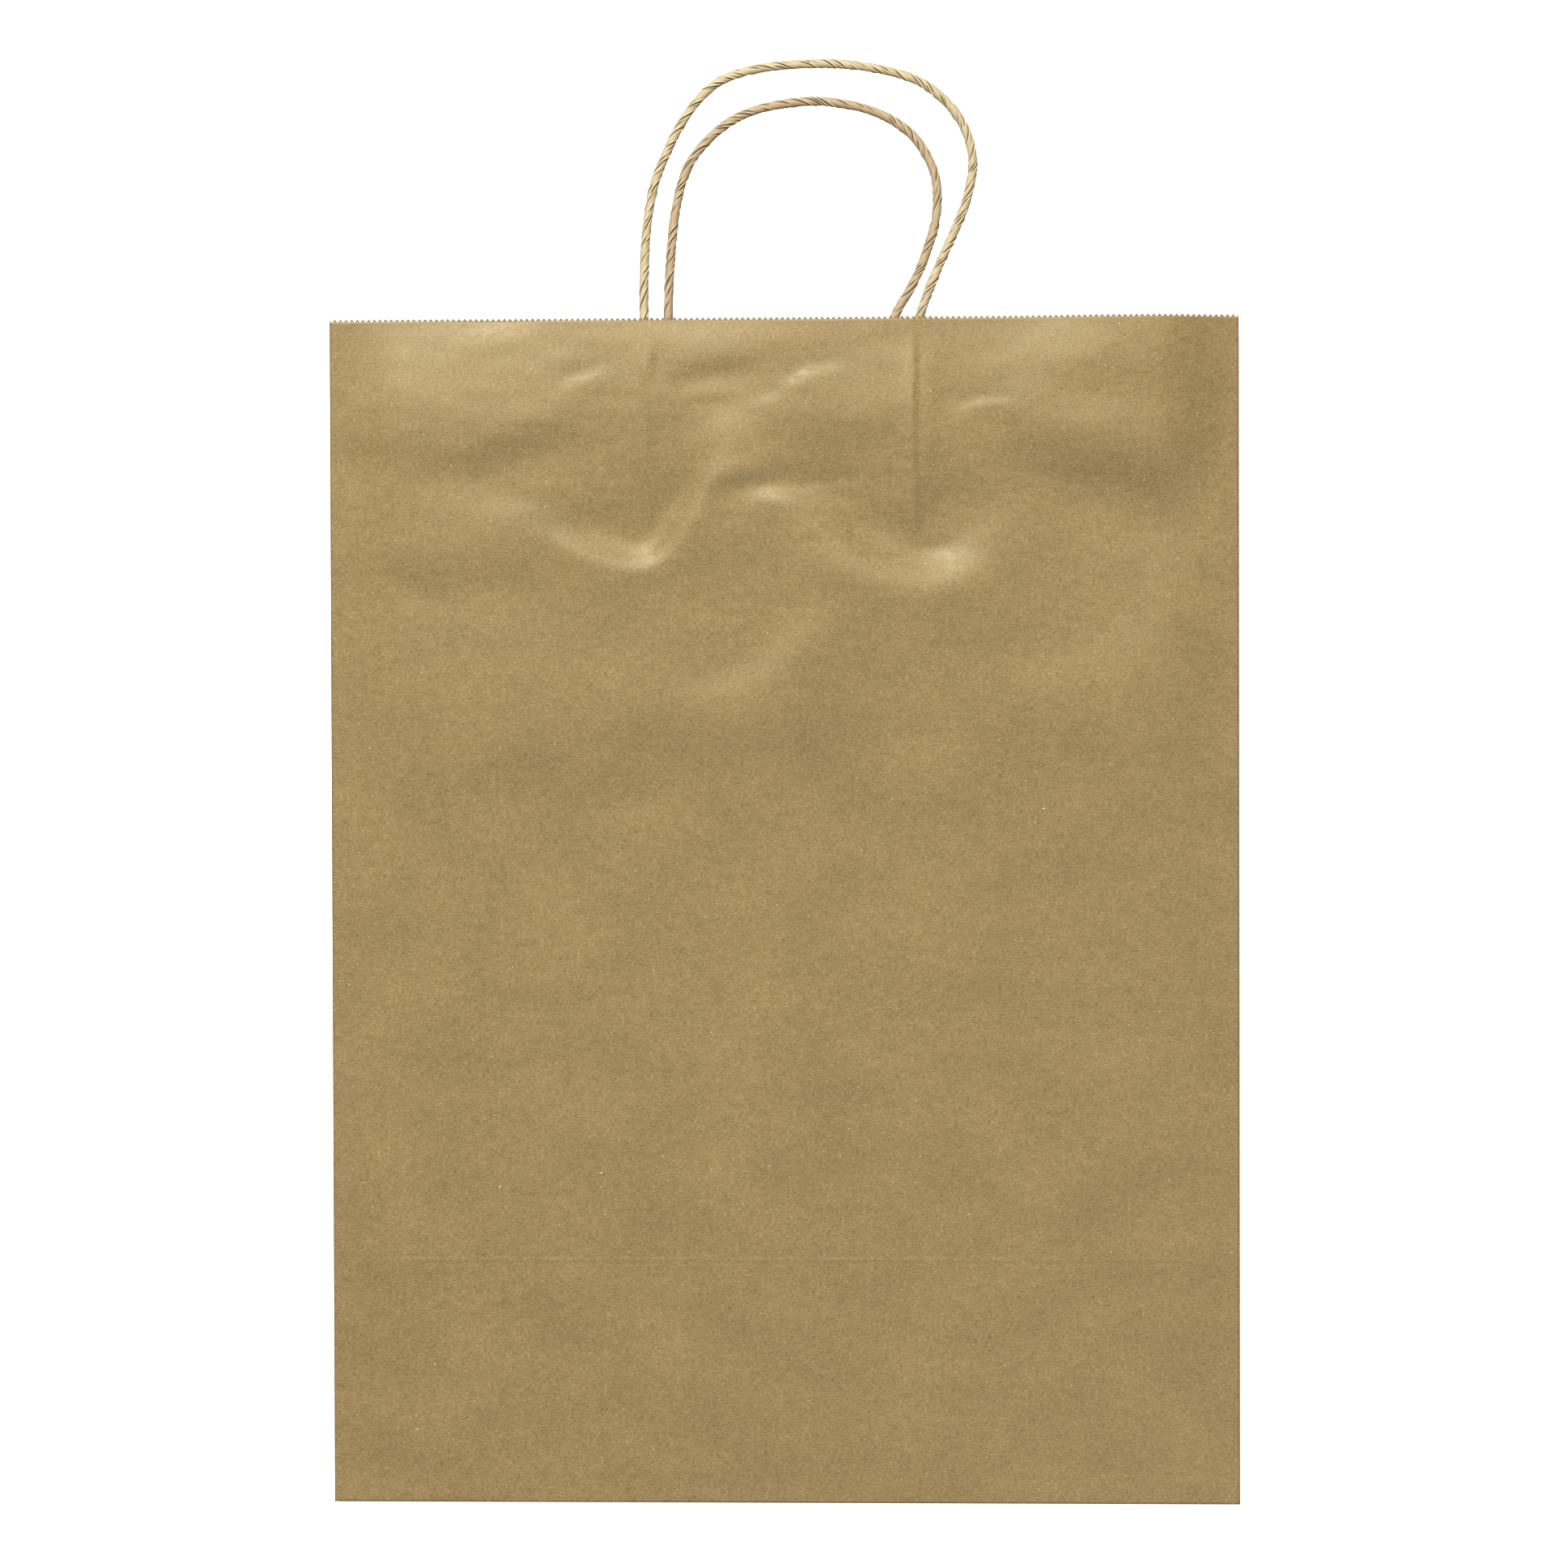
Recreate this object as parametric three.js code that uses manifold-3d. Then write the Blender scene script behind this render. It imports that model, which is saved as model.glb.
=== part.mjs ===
// Block-bottom paper gift bag with two twisted-cord handles, folded flat and lying on its back.
// Millimetres. +X to the right of the front face, +Y towards the mouth and the handles, +Z out of the front face.
// The origin is at the centre of the footprint, on the surface that the folded bag lies on.
import * as THREE from "three";
import { mergeVertices } from "three/addons/utils/BufferGeometryUtils.js";
import Module from "manifold-3d";

// Size of the bag when it stands open.
const BAG_WIDTH = 330.2;
const BAG_DEPTH = 177.8;
const BAG_HEIGHT = 431.8;
const HALF_WIDTH = BAG_WIDTH / 2;
const HALF_DEPTH = BAG_DEPTH / 2;

// Paper, glue lines and cord.
const PAPER = 0.25;
const PLY_GAP = 0.1;
const PLY = PAPER + PLY_GAP;
const EDGE_GAP = 0.15;
const CORD_RADIUS = 1.7;
const CORD_CLEARANCE = 0.05;
const HUMP_CLEARANCE = 0.1;

// Pinked mouth edge.
const TOOTH_PITCH = 2.07;
const TOOTH_DEPTH = 1.0;

// Bottom: glued flaps cut at 45 degrees.
const FLAP_DEPTH = 109;
const TUCK_DEPTH = 109;
const TUCK_TAPER = 60;
const HINGE_INSET = 0.375;

// How far the gusset halves reach past the side hinge line, and the gap outside the corner triangles.
const HALF_OVERHANG = 0.5;
const WEB_INSET = 0.1;

// Handle patches, measured down from the mouth, and the cord legs in them.
const PATCH_HALF_WIDTH = 70;
const PATCH_TOP = 20;
const PATCH_BOTTOM = 80;
const LEG_END = 76;
const LEG_SPLAY = 1.03;
const FRONT_LEG_X = 48.9;
const BACK_LEG_X = 40.3;
const HANDLE_HINGE = 3.5;
const LEG_GAP = 2.3;
const LOOP_REACH = 93.4;

// Facets of the round shapes.
const HUMP_STEPS = 14;
const LEG_SIDES = 24;
const LOOP_STEPS = 80;
const LOOP_FACETS = 9;
const BALL_SEGMENTS = 18;
const BALL_RINGS = 12;
const MERGE_DISTANCE = 1e-4;

// Seam flap along the right back edge.
const SEAM_FLAP_WIDTH = 20;
const SEAM_FLAP_INSET = 3;

// Layer heights, from the outermost bottom flap up to the front panel.
const Z_FLAP_BACK = PAPER / 2;
const Z_FLAP_FRONT = Z_FLAP_BACK + PLY;
const Z_TUCK = Z_FLAP_FRONT + PLY;
const Z_BOTTOM_WEB = Z_TUCK + PLY;
const Z_BACK_WEB = Z_BOTTOM_WEB + PLY;
const Z_LOWER_BACK = Z_BACK_WEB + PLY;
const Z_BACK = Z_LOWER_BACK + PLY;
const PANEL_SPACING = 5.25;
const LAYER_SPACING = PANEL_SPACING / 3;
const Z_BACK_HALF = Z_BACK + LAYER_SPACING;
const Z_FRONT_HALF = Z_BACK_HALF + LAYER_SPACING;
const Z_FRONT = Z_FRONT_HALF + LAYER_SPACING;

// Side hinge lines and the centre crease of each gusset.
const SIDE_HINGE_X = HALF_WIDTH - LAYER_SPACING / 2 - PAPER / 2;
const HALF_OUTER_X = SIDE_HINGE_X + HALF_OVERHANG;
const CREASE_X = HALF_WIDTH - HALF_DEPTH;
const WEB_OUTER_X = HALF_WIDTH - PAPER / 2 - WEB_INSET;
const BOTTOM_HINGE_Y = BAG_DEPTH - HINGE_INSET;

// Centrelines of the two loops: [x, height above the mouth].
const FRONT_LOOP = [
  [-50.5, HANDLE_HINGE], [-50.3, 16.2], [-49.7, 29], [-48.3, 40], [-46, 50.2], [-42.2, 59.5],
  [-37.6, 68.8], [-31.2, 78.1], [-23.2, 85.3], [-13.4, 89.1], [-2.4, 91], [8.6, 91.7],
  [18.8, 91.7], [29.8, 90.6], [40.9, 88.3], [50.2, 84.9], [57.8, 79.4], [63.7, 72.6],
  [67.6, 64.6], [69.2, 55.2], [68, 46.8], [65.9, 39.1], [62, 29.8], [57.4, 19.6],
  [54.2, 12], [50.9, HANDLE_HINGE],
];
const BACK_LOOP = [
  [-41.6, HANDLE_HINGE], [-40.8, 20.5], [-39.7, 33.2], [-38.2, 42.5], [-35.9, 51], [-32.9, 57.4],
  [-27, 64.6], [-18.5, 71.4], [-9.2, 75.4], [2.7, 77.7], [12.9, 78.3], [21.4, 77.4],
  [29.8, 75.6], [38.3, 72.2], [46.8, 66.3], [51.9, 59.5], [55.3, 51.8], [56.3, 42.5],
  [55.3, 33.2], [52.7, 24.7], [50.2, 17.9], [46.1, 9.5], [42.4, HANDLE_HINGE],
];

const KRAFT = { color: new THREE.Color(0xa68f62), roughness: 0.85, metalness: 0 };
const KRAFT_INSIDE = { color: new THREE.Color(0xa08a5e), roughness: 0.88, metalness: 0 };
const KRAFT_PATCH = { color: new THREE.Color(0x9a8459), roughness: 0.88, metalness: 0 };
const CORD_FRONT = { color: new THREE.Color(0xd8c498), roughness: 0.8, metalness: 0 };
const CORD_BACK = { color: new THREE.Color(0xccb288), roughness: 0.8, metalness: 0 };

const wasm = await Module();
wasm.setup();

const bag = new THREE.Group();
bag.name = "gift_bag";

// One named part of the bag.
function addMesh(name, geometry, finish) {
  const mesh = new THREE.Mesh(geometry, new THREE.MeshStandardMaterial(finish));
  mesh.name = name;
  bag.add(mesh);
}

// A flat sheet of paper with the given outline, its middle plane at height z.
function sheet(points, z) {
  const shape = new THREE.Shape(points.map(([x, y]) => new THREE.Vector2(x, y)));
  const geometry = new THREE.ExtrudeGeometry(shape, { depth: PAPER, bevelEnabled: false });
  return geometry.translate(0, 0, z - PAPER / 2);
}

// The same outline on the left or right side of the bag (side is -1 or 1).
function onSide(side, points) {
  return points.map(([x, y]) => [side * x, y]);
}

// Points of the zigzag mouth edge from x = start to x = end, tips at the bag's full height.
function pinkedEdge(start, end) {
  const teeth = Math.round(Math.abs(end - start) / TOOTH_PITCH);
  const points = [];
  for (let i = 0; i <= 2 * teeth; i += 1) {
    const x = start + ((end - start) * i) / (2 * teeth);
    points.push([x, BAG_HEIGHT - (i % 2 === 0 ? TOOTH_DEPTH : 0)]);
  }
  return points;
}

// Corners of an upright rectangle.
function rectangle(x0, y0, x1, y1) {
  return [[x0, y0], [x1, y0], [x1, y1], [x0, y1]];
}

// A flap on one edge of the bottom, its two ends cut at 45 degrees.
function flap(edgeY, direction) {
  const tip = HALF_WIDTH - FLAP_DEPTH;
  const tipY = edgeY + direction * FLAP_DEPTH;
  return [[-HALF_WIDTH, edgeY], [HALF_WIDTH, edgeY], [tip, tipY], [-tip, tipY]];
}

// Panels with the pinked mouth.
function addPanels() {
  const front = [[-HALF_WIDTH, 0], [HALF_WIDTH, 0], ...pinkedEdge(HALF_WIDTH, -HALF_WIDTH)];
  addMesh("front_panel", sheet(front, Z_FRONT), KRAFT);
  const foldY = HALF_DEPTH + EDGE_GAP;
  const back = [[-HALF_WIDTH, foldY], [HALF_WIDTH, foldY], ...pinkedEdge(HALF_WIDTH, -HALF_WIDTH)];
  addMesh("back_panel", sheet(back, Z_BACK), KRAFT);
  const lower = rectangle(-HALF_WIDTH, foldY, HALF_WIDTH, BOTTOM_HINGE_Y - EDGE_GAP);
  addMesh("back_panel_lower", sheet(lower, Z_LOWER_BACK), KRAFT);
  const flapRight = HALF_WIDTH - SEAM_FLAP_INSET;
  const seam = rectangle(flapRight - SEAM_FLAP_WIDTH, foldY, flapRight, BAG_HEIGHT - 2 * TOOTH_DEPTH);
  addMesh("seam_flap", sheet(seam, Z_BACK + PLY), KRAFT_INSIDE);
}

// Each gusset: two halves, and the two triangles that fold round the bottom corner.
function addGusset(side, name) {
  const innerX = CREASE_X + EDGE_GAP;
  const mouth = pinkedEdge(HALF_OUTER_X, innerX);
  const cut = (x) => HALF_WIDTH - x + 2 * EDGE_GAP;
  const frontHalf = [[innerX, cut(innerX)], [HALF_OUTER_X, cut(HALF_OUTER_X)], ...mouth];
  const backHalf = [[innerX, HALF_DEPTH + EDGE_GAP], [HALF_OUTER_X, HALF_DEPTH + EDGE_GAP], ...mouth];
  const bottomWeb = [
    [WEB_OUTER_X, 2 * EDGE_GAP], [WEB_OUTER_X, BOTTOM_HINGE_Y - 2 * EDGE_GAP],
    [CREASE_X + 2 * EDGE_GAP, HALF_DEPTH],
  ];
  const backWeb = [
    [CREASE_X + 4 * EDGE_GAP, HALF_DEPTH + EDGE_GAP], [WEB_OUTER_X, HALF_DEPTH + EDGE_GAP],
    [WEB_OUTER_X, BOTTOM_HINGE_Y - 3 * EDGE_GAP],
  ];
  addMesh(`${name}_gusset_front`, sheet(onSide(side, frontHalf), Z_FRONT_HALF), KRAFT_INSIDE);
  addMesh(`${name}_gusset_back`, sheet(onSide(side, backHalf), Z_BACK_HALF), KRAFT_INSIDE);
  addMesh(`${name}_bottom_web`, sheet(onSide(side, bottomWeb), Z_BOTTOM_WEB), KRAFT_INSIDE);
  addMesh(`${name}_back_web`, sheet(onSide(side, backWeb), Z_BACK_WEB), KRAFT_INSIDE);
}

// The envelope-folded bottom, lying under the lower back panel.
function addBottom() {
  addMesh("bottom_flap_front", sheet(flap(EDGE_GAP, 1), Z_FLAP_FRONT), KRAFT);
  addMesh("bottom_flap_back", sheet(flap(BOTTOM_HINGE_Y - EDGE_GAP, -1), Z_FLAP_BACK), KRAFT);
  const tuck = [
    [HALF_WIDTH, EDGE_GAP], [HALF_WIDTH, BOTTOM_HINGE_Y - EDGE_GAP],
    [HALF_WIDTH - TUCK_DEPTH, BOTTOM_HINGE_Y - EDGE_GAP - TUCK_TAPER],
    [HALF_WIDTH - TUCK_DEPTH, EDGE_GAP + TUCK_TAPER],
  ];
  addMesh("bottom_tuck_left", sheet(onSide(-1, tuck), Z_TUCK), KRAFT_INSIDE);
  addMesh("bottom_tuck_right", sheet(onSide(1, tuck), Z_TUCK), KRAFT_INSIDE);
}

// Half circle over a cord at x = legX, from one flank to the other, bulging towards sign in z.
function humpArc(legX, cordZ, radius, sign) {
  const points = [];
  for (let i = 0; i <= HUMP_STEPS; i += 1) {
    const angle = Math.PI * (1 - i / HUMP_STEPS);
    points.push([legX + radius * Math.cos(angle), cordZ + sign * radius * Math.sin(angle)]);
  }
  return points;
}

// Cross-section (x, z) of a patch cover: flat strip with a hump over each cord leg.
function coverProfile(legX, flatZ, cordZ, sign) {
  const inner = CORD_RADIUS + HUMP_CLEARANCE;
  const outer = inner + PAPER;
  const far = flatZ + (sign * PAPER) / 2;
  const near = flatZ - (sign * PAPER) / 2;
  const run = (radius, z) => {
    const flanks = [-1, 1].map((side) => [
      [side * legX - radius, z], ...humpArc(side * legX, cordZ, radius, sign), [side * legX + radius, z],
    ]);
    return [[-PATCH_HALF_WIDTH, z], ...flanks[0], ...flanks[1], [PATCH_HALF_WIDTH, z]];
  };
  return [...run(outer, far), ...run(inner, near).reverse()];
}

// Slides every point sideways as the cord legs spread towards the mouth. shiftAt gives a point's full shift.
function splay(geometry, shiftAt) {
  const bottomY = BAG_HEIGHT - PATCH_BOTTOM;
  const topY = BAG_HEIGHT - PATCH_TOP;
  const position = geometry.getAttribute("position");
  for (let i = 0; i < position.count; i += 1) {
    const share = (position.getY(i) - bottomY) / (topY - bottomY);
    position.setX(i, position.getX(i) + (LEG_SPLAY - 1) * share * shiftAt(position.getX(i)));
  }
  geometry.computeVertexNormals();
  return geometry;
}

// One patch with its two cord legs. sign is the way the humps point: -1 on the front panel, 1 on the back.
function addPatch(name, panelZ, legX, sign, cordFinish) {
  const bottomY = BAG_HEIGHT - PATCH_BOTTOM;
  const topY = BAG_HEIGHT - PATCH_TOP;
  const baseZ = panelZ + sign * PLY;
  const flatZ = baseZ + sign * PLY;
  const cordZ = cordHeight(panelZ, sign);
  const base = sheet(rectangle(-PATCH_HALF_WIDTH, bottomY, PATCH_HALF_WIDTH, topY), baseZ);
  addMesh(`${name}_patch_base`, splay(base, (x) => x), KRAFT_PATCH);

  const profile = coverProfile(legX, flatZ, cordZ, sign);
  const shape = new THREE.Shape(profile.map(([x, z]) => new THREE.Vector2(x, -z)));
  const cover = new THREE.ExtrudeGeometry(shape, { depth: topY - bottomY, bevelEnabled: false });
  cover.rotateX(-Math.PI / 2).translate(0, bottomY, 0);
  addMesh(`${name}_patch_cover`, splay(cover, (x) => x), KRAFT_PATCH);
  addLegs(name, legX, cordZ, cordFinish);
}

// Height of the middle of a cord whose patch is glued inside a panel.
function cordHeight(panelZ, sign) {
  return panelZ + sign * (PLY + PAPER / 2 + CORD_CLEARANCE + CORD_RADIUS);
}

// The straight parts of a cord, from the patch up to just below the loop's hinge line.
function addLegs(name, legX, cordZ, finish) {
  const startY = BAG_HEIGHT - LEG_END;
  const endY = BAG_HEIGHT + HANDLE_HINGE - LEG_GAP;
  for (const [side, word] of [[-1, "left"], [1, "right"]]) {
    const leg = new THREE.CylinderGeometry(CORD_RADIUS, CORD_RADIUS, endY - startY, LEG_SIDES, 1);
    leg.translate(side * legX, (startY + endY) / 2, cordZ);
    addMesh(`${name}_handle_leg_${word}`, splay(leg, () => side * legX), finish);
  }
}

// A three.js geometry as a manifold-3d solid, and back.
function toSolid(geometry) {
  const bare = new THREE.BufferGeometry();
  const source = geometry.index ? geometry.toNonIndexed() : geometry;
  bare.setAttribute("position", source.getAttribute("position"));
  const merged = mergeVertices(bare, MERGE_DISTANCE);
  const mesh = new wasm.Mesh({
    numProp: 3,
    vertProperties: new Float32Array(merged.attributes.position.array),
    triVerts: new Uint32Array(merged.index.array),
  });
  return new wasm.Manifold(mesh);
}

function toGeometry(solid) {
  const mesh = solid.getMesh();
  const geometry = new THREE.BufferGeometry();
  geometry.setAttribute("position", new THREE.BufferAttribute(new Float32Array(mesh.vertProperties), 3));
  geometry.setIndex(new THREE.BufferAttribute(new Uint32Array(mesh.triVerts), 1));
  const faceted = geometry.toNonIndexed();
  faceted.computeVertexNormals();
  return faceted;
}

// The free loop of a handle: a round cord on a smooth curve, with ball ends on its hinge line.
function addLoop(name, line, cordZ, finish) {
  const points = line.map(([x, above]) => new THREE.Vector3(x, BAG_HEIGHT + above, cordZ));
  const path = new THREE.CatmullRomCurve3(points, false, "centripetal");
  const circle = new THREE.Shape().absarc(0, 0, CORD_RADIUS, 0, 2 * Math.PI, false);
  const settings = {
    steps: LOOP_STEPS,
    curveSegments: LOOP_FACETS,
    extrudePath: path,
    bevelEnabled: false,
  };
  const cord = new THREE.ExtrudeGeometry(circle, settings);
  let solid = toSolid(cord);
  for (const end of [points[0], points[points.length - 1]]) {
    const ball = new THREE.SphereGeometry(CORD_RADIUS, BALL_SEGMENTS, BALL_RINGS);
    ball.translate(end.x, end.y, end.z);
    solid = solid.add(toSolid(ball));
  }
  addMesh(name, toGeometry(solid), finish);
}

addPanels();
addGusset(-1, "left");
addGusset(1, "right");
addBottom();
addPatch("front", Z_FRONT, FRONT_LEG_X, -1, CORD_FRONT);
addPatch("back", Z_BACK, BACK_LEG_X, 1, CORD_BACK);
addLoop("front_handle_loop", FRONT_LOOP, cordHeight(Z_FRONT, -1), CORD_FRONT);
addLoop("back_handle_loop", BACK_LOOP, cordHeight(Z_BACK, 1), CORD_BACK);

// Centre the footprint, handles included.
bag.position.y = -(BAG_HEIGHT + LOOP_REACH) / 2;

export default bag;
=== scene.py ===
"""Kraft paper gift bag, folded flat, with two twisted paper cord handles.

Lengths are in millimetres in the bag's own places: x across from its middle, y up from its bottom edge,
z up from the surface it lies on. to_frame() turns them into the frame's metres.
"""

import math
import bpy
import numpy as np
from mathutils import Euler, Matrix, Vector


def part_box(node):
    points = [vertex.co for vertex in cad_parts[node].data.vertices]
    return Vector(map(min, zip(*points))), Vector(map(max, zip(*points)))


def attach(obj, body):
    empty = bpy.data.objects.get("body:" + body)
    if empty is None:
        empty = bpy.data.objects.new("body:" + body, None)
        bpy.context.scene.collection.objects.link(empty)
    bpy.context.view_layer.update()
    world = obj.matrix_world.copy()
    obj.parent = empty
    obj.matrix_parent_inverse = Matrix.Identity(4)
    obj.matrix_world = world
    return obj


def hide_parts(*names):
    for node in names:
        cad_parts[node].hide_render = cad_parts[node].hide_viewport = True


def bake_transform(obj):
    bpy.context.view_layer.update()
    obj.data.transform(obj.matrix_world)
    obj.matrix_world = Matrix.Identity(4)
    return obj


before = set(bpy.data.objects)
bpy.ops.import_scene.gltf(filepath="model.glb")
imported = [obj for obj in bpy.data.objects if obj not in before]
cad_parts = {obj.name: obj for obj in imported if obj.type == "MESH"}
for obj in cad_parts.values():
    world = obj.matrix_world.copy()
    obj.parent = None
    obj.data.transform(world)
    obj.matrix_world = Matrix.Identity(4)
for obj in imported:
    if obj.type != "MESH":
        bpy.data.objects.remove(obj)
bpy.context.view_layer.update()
scene = bpy.context.scene

# ---------------------------------------------------------------- sizes read from the frame
MM = 0.001


def span(node, axis):
    """Lowest and highest place of a CAD node along one axis, in millimetres of the row frame."""
    low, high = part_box(node)
    return low[axis] / MM, high[axis] / MM


def layer(node):
    """Middle height of a flat CAD node."""
    return sum(span(node, 2)) / 2


FOOT, MOUTH = span("front_panel", 1)
HEIGHT = MOUTH - FOOT
HALF_WIDTH = span("front_panel", 0)[1]
CAD_PAPER = span("front_panel", 2)[1] - span("front_panel", 2)[0]
Z_FRONT = layer("front_panel")
Z_FRONT_HALF = layer("left_gusset_front")
Z_BACK_HALF = layer("left_gusset_back")
Z_BACK = layer("back_panel")
Z_LOWER = layer("back_panel_lower")
Z_BACK_WEB = layer("left_back_web")
Z_BOTTOM_WEB = layer("left_bottom_web")
Z_TUCK = layer("bottom_tuck_left")
Z_FLAP_FRONT = layer("bottom_flap_front")
Z_FLAP_BACK = layer("bottom_flap_back")
EDGE_GAP = span("bottom_flap_front", 1)[0] - FOOT
LIP = (Z_FRONT - Z_FRONT_HALF) / 2
SIDE_X = HALF_WIDTH - LIP - CAD_PAPER / 2
CREASE_X = span("right_gusset_front", 0)[0] - EDGE_GAP
WEB_X = span("right_bottom_web", 0)[1]
FOLD_Y = span("back_panel", 1)[0] - FOOT - EDGE_GAP
BOTTOM_Y = span("back_panel_lower", 1)[1] - FOOT + EDGE_GAP
FLAP_DEPTH = span("bottom_flap_front", 1)[1] - FOOT - EDGE_GAP
TUCK_TAPER = 60.0  # how far a tuck narrows on each side, from its fold to its tip
PATCH_LOW = span("front_patch_base", 1)[0] - FOOT
PATCH_HIGH = span("front_patch_base", 1)[1] - FOOT

PAPER = 0.2
TEETH = 160  # on the pinked edge of one panel
TOOTH = 2 * HALF_WIDTH / TEETH
TOOTH_DEPTH = 1.15
LAYER_DROP = 1.1  # how much lower the pinked edge lies behind the front panel
LAST_ROW = 1.7  # depth below the mouth of the last straight row on the front panel
LAST_ROW_BEHIND = 1.9  # and on the sheets behind it
EDGE_X = HALF_WIDTH - 0.2  # sides of the panels
BOTTOM_X = HALF_WIDTH - 0.3  # sides of the bottom's sheets
WEB_EDGE = WEB_X - 0.1  # where the webs turn round the corner of the bottom
FOOT_LINE = EDGE_GAP + 0.25  # where the bottom's sheets begin, inside the fold along the foot
# Steps between the places of the paper's pattern, so that no sheet, side or cord repeats another.
NEXT_SHEET = 200.0
OTHER_SIDE = 90.0
NEXT_CORD = 37.0


def to_frame(points):
    """Millimetres in the bag's places to metres in the row frame."""
    return (np.asarray(points, float) + (0.0, FOOT, 0.0)) * MM


def smooth(t):
    """0 below 0, 1 above 1, and an even rise between."""
    t = np.clip(t, 0, 1)
    return t * t * (3 - 2 * t)


# ---------------------------------------------------------------- camera
# It looks almost straight down on the flat bag. Its place is in metres.
camera = bpy.data.objects.new("camera", bpy.data.cameras.new("camera"))
scene.collection.objects.link(camera)
camera.data.lens = 85
camera.data.sensor_width = 36
camera.location = (0.0411, 0.0187, 1.3523)
camera.rotation_euler = Euler((-0.01429, 0.03043, -0.00289))
scene.camera = camera


# ---------------------------------------------------------------- mesh helpers
def make_mesh(name, vertices, faces, attributes):
    """A mesh object from places in millimetres, with (name, type, values) point attributes."""
    mesh = bpy.data.meshes.new(name)
    faces = np.asarray(faces, np.int32)
    points = to_frame(vertices)
    mesh.vertices.add(len(points))
    mesh.vertices.foreach_set("co", points.astype(np.float32).ravel())
    mesh.loops.add(faces.size)
    mesh.loops.foreach_set("vertex_index", faces.ravel())
    mesh.polygons.add(len(faces))
    mesh.polygons.foreach_set("loop_start", np.arange(0, faces.size, faces.shape[1], dtype=np.int32))
    mesh.polygons.foreach_set("use_smooth", np.ones(len(faces), bool))
    mesh.update(calc_edges=True)
    mesh.validate()
    for label, kind, values in attributes:
        slot = mesh.attributes.new(label, kind, "POINT")
        field = "vector" if kind == "FLOAT_VECTOR" else "value"
        slot.data.foreach_set(field, np.asarray(values, np.float32).ravel())
    piece = bpy.data.objects.new(name, mesh)
    scene.collection.objects.link(piece)
    return piece


def grid_faces(rows, columns, first=0, flip=False):
    """Quads of a grid of points numbered row by row."""
    index = first + np.arange(rows * columns).reshape(rows, columns)
    quads = np.stack([index[:-1, :-1], index[:-1, 1:], index[1:, 1:], index[1:, :-1]], -1).reshape(-1, 4)
    return quads[:, ::-1] if flip else quads


def arc_lengths(points, axis):
    """Distance along each grid line, in one direction of the grid."""
    step = np.linalg.norm(np.diff(points, axis=axis), axis=2)
    pad = [(0, 0), (0, 0)]
    pad[axis] = (1, 0)
    return np.cumsum(np.pad(step, pad), axis=axis)


def paper_sheet(name, middle, seed, finish):
    """Closed thin sheet of paper around a grid (rows, columns, 3) of middle points."""
    rows, columns = middle.shape[:2]
    across = np.gradient(middle, axis=1)
    up = np.gradient(middle, axis=0)
    normal = np.cross(across, up)
    normal /= np.maximum(np.linalg.norm(normal, axis=2, keepdims=True), 1e-9)
    upper = middle + normal * PAPER / 2
    lower = middle - normal * PAPER / 2
    count = rows * columns
    faces = [grid_faces(rows, columns), grid_faces(rows, columns, count, flip=True)]
    index = np.arange(count).reshape(rows, columns)
    rim = np.concatenate([index[0, :], index[1:, -1], index[-1, ::-1][1:], index[::-1, 0][1:-1]])
    following = np.roll(rim, -1)
    faces.append(np.stack([rim + count, following + count, following, rim], -1))
    place = np.zeros((2, rows, columns, 3))
    place[..., 0] = middle[0, 0, 0] + arc_lengths(middle, 1)
    place[..., 1] = middle[..., 1]
    place[0, ..., 2] = NEXT_SHEET * seed
    place[1, ..., 2] = NEXT_SHEET * seed + OTHER_SIDE
    piece = make_mesh(
        name,
        np.concatenate([upper.reshape(-1, 3), lower.reshape(-1, 3)]),
        np.concatenate(faces),
        [("place", "FLOAT_VECTOR", place)],
    )
    piece.data.materials.append(finish)
    return piece


def arc(centre_x, centre_z, radius, start, end, steps):
    """(x, z) points of an arc, angles in degrees from +x towards +z."""
    angles = np.radians(np.linspace(start, end, steps))
    return np.stack([centre_x + radius * np.cos(angles), centre_z + radius * np.sin(angles)], -1)


def flat_profile(x, z):
    """(x, z) points of a level sheet, or (y, z) points when x holds places up the bag."""
    return np.stack([x, np.full(len(x), z)], -1)


def ruled(profile, low, high, rows):
    """Grid that carries an (x, z) profile from y = low to y = high, each one number or one per column."""
    profile = np.asarray(profile, float)
    shares = np.asarray(rows, float)[:, None]
    low = np.broadcast_to(low, len(profile))
    high = np.broadcast_to(high, len(profile))
    middle = np.zeros((len(shares), len(profile), 3))
    middle[..., 0] = profile[:, 0]
    middle[..., 1] = low + (high - low) * shares
    middle[..., 2] = profile[:, 1]
    return middle


def tooth_drop(x, drift=0.0):
    """How far below the tips the pinked edge is at x. drift shifts the teeth, as a share of one tooth."""
    teeth = (x + HALF_WIDTH) / TOOTH + (0.5 + drift)
    return TOOTH_DEPTH * np.abs(2 * (teeth % 1.0) - 1)


def mirrored(middle, side):
    """The grid on the right (side 1) or on the left (side -1), with its faces turned the same way."""
    if side > 0:
        return middle
    flipped = middle[:, ::-1].copy()
    flipped[..., 0] *= -1
    return flipped


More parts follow.
